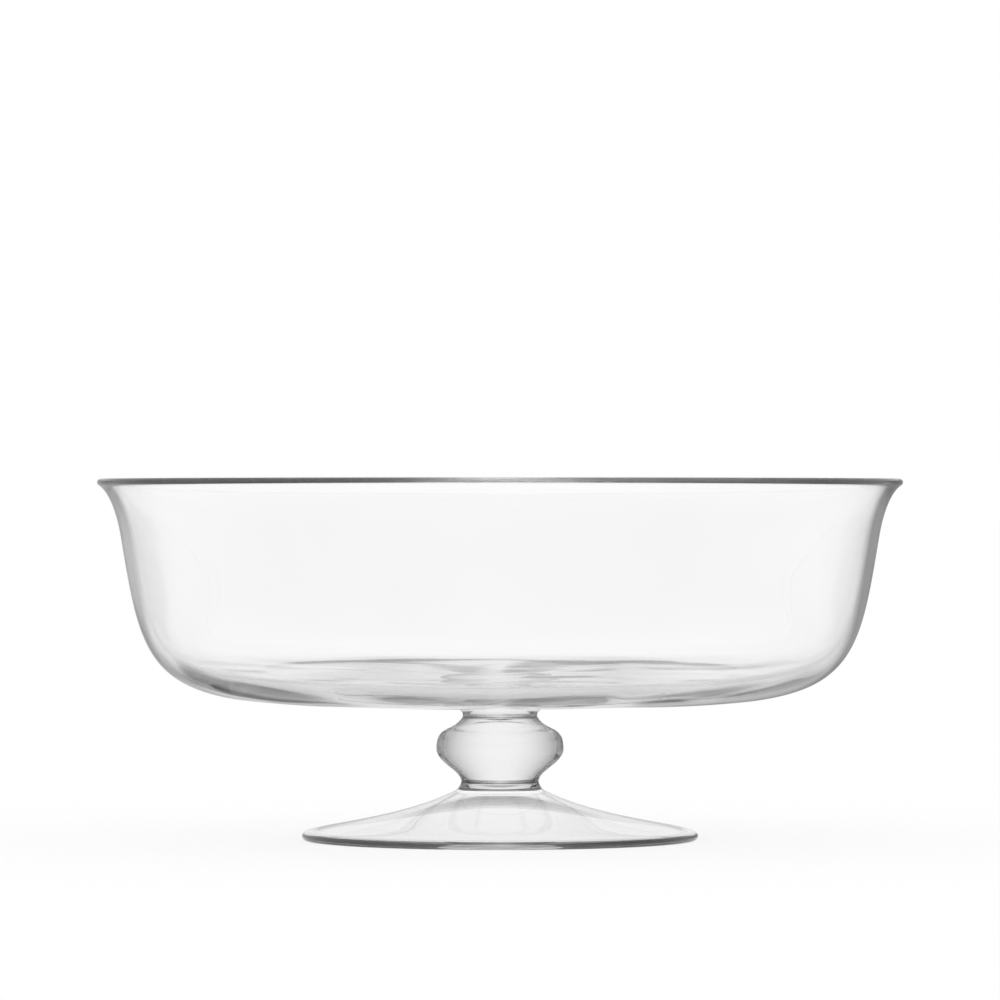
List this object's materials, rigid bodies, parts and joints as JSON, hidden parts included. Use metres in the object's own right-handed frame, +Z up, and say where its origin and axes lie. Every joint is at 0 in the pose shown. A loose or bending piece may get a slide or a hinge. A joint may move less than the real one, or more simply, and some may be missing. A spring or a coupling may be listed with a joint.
{
  "type": "compote bowl",
  "caption": "Footed compote of clear hand-made glass: wide bowl with a flared lip and shallow dished floor, on a short hollow stem with a blown knop and a spread, hollow foot.",
  "frame": {"origin": "centre of the foot's rest ring, on the table", "axes": "+Z up along the axis that every piece is turned about; +X and +Y are any two level directions"},
  "size_m": [0.29, 0.29, 0.1301],
  "materials": {
    "bowl_glass": "clear, fire-polished, with faint hand-made ripples",
    "stem_glass": "clear, fire-polished, blown hollow",
    "foot_glass": "clear, fire-polished"
  },
  "bodies": {
    "root": {"bowl": "bowl_glass", "bowl_collar": "stem_glass", "stem_knop": "stem_glass", "foot_collar": "stem_glass", "foot": "foot_glass"}
  },
  "joints": []
}
